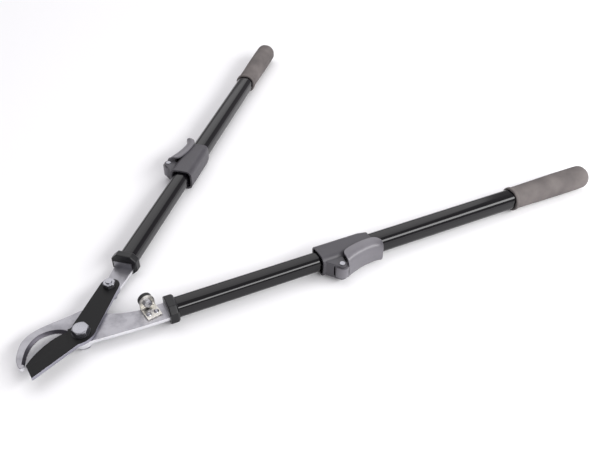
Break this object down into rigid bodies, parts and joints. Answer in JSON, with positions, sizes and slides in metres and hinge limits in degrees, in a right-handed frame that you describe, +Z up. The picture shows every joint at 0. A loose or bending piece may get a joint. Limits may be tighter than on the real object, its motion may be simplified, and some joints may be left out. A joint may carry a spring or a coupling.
{
  "type": "bypass loppers",
  "caption": "Long-handled bypass pruning loppers with a hooked counter blade, a curved cutting blade, a rubber closing stop and telescopic handles held by cam levers.",
  "frame": {"origin": "centre of the bounding box in plan, on the plane that the tool lies on", "axes": "+Z up out of the plane that the tool lies on; +Y from the jaws to the grips, halving the angle between the handles; +X towards the handle that carries the hooked counter blade"},
  "size_m": [0.6794, 0.7785, 0.0365],
  "materials": {
    "plate_steel": "satin ground steel",
    "blade_black": "matte non-stick coating",
    "bright_zinc": "bright zinc plate",
    "dark_washer": "blackened steel",
    "nickel_bracket": "nickel plate, slightly yellow",
    "black_rubber": "matte rubber",
    "cast_zinc": "satin cast metal",
    "black_plastic": "fine moulded grain",
    "black_tube": "gloss black coating",
    "grip_grey": "soft matte foam rubber",
    "sleeve_grey": "fine moulded grain",
    "lever_grey": "satin moulded",
    "pad_grey": "moulded"
  },
  "bodies": {
    "hook_side": {"hook_plate": "plate_steel", "bumper_bracket": "nickel_bracket", "bumper_pad": "black_rubber", "bumper_screw": "bright_zinc", "bumper_rivets": "bright_zinc", "right_tang_block": "cast_zinc", "right_collar": "black_plastic", "right_spigot_pin": "bright_zinc", "right_inner_tube": "black_tube", "right_guide_bush": "black_plastic"},
    "blade_side": {"cutting_blade": "blade_black", "left_arm_plate": "plate_steel", "pivot_bolt": "bright_zinc", "pivot_washer": "dark_washer", "pivot_nut": "bright_zinc", "tail_bolt": "bright_zinc", "tail_nut": "bright_zinc", "tail_spacer": "bright_zinc", "left_tang_block": "cast_zinc", "left_collar": "black_plastic", "left_spigot_pin": "bright_zinc", "left_inner_tube": "black_tube", "left_guide_bush": "black_plastic"},
    "right_slider": {"right_outer_tube": "black_tube", "right_end_plug": "black_plastic", "right_grip": "grip_grey", "right_clamp_sleeve": "sleeve_grey", "right_lever_pin": "bright_zinc"},
    "right_lever": {"right_cam_lever": "lever_grey"},
    "right_pad": {"right_clamp_pad": "pad_grey"},
    "left_slider": {"left_outer_tube": "black_tube", "left_end_plug": "black_plastic", "left_grip": "grip_grey", "left_clamp_sleeve": "sleeve_grey", "left_lever_pin": "bright_zinc"},
    "left_lever": {"left_cam_lever": "lever_grey"},
    "left_pad": {"left_clamp_pad": "pad_grey"}
  },
  "joints": [
    {"name": "jaw", "type": "hinge", "parent": "hook_side", "child": "blade_side", "pos_m": [0.00285, -0.31335, 0.0176], "axis": [0, 0, 1], "range_deg": [-30, 40]},
    {"name": "right_slide", "type": "slide", "parent": "hook_side", "child": "right_slider", "axis": [0.4226, 0.9063, 0], "range_m": [-0.184, 0.03]},
    {"name": "right_lever_hinge", "type": "hinge", "parent": "right_slider", "child": "right_lever", "pos_m": [0.17162, -0.03069, 0.0175], "axis": [0, 0, 1], "range_deg": [-130, 0]},
    {"name": "right_pad_slide", "type": "slide", "parent": "right_slider", "child": "right_pad", "axis": [0.9063, -0.4226, 0], "range_m": [0, 0.000612]},
    {"name": "left_slide", "type": "slide", "parent": "blade_side", "child": "left_slider", "axis": [-0.4226, 0.9063, 0], "range_m": [-0.176, 0.038]},
    {"name": "left_lever_hinge", "type": "hinge", "parent": "left_slider", "child": "left_lever", "pos_m": [-0.17162, -0.01846, 0.0175], "axis": [0, 0, 1], "range_deg": [0, 130]},
    {"name": "left_pad_slide", "type": "slide", "parent": "left_slider", "child": "left_pad", "axis": [-0.9063, -0.4226, 0], "range_m": [0, 0.000612]}
  ],
  "couplings": [
    {"joint": "right_pad_slide", "follows": "right_lever_hinge", "m_per_rad": -0.00026444},
    {"joint": "left_pad_slide", "follows": "left_lever_hinge", "m_per_rad": 0.00026444}
  ]
}
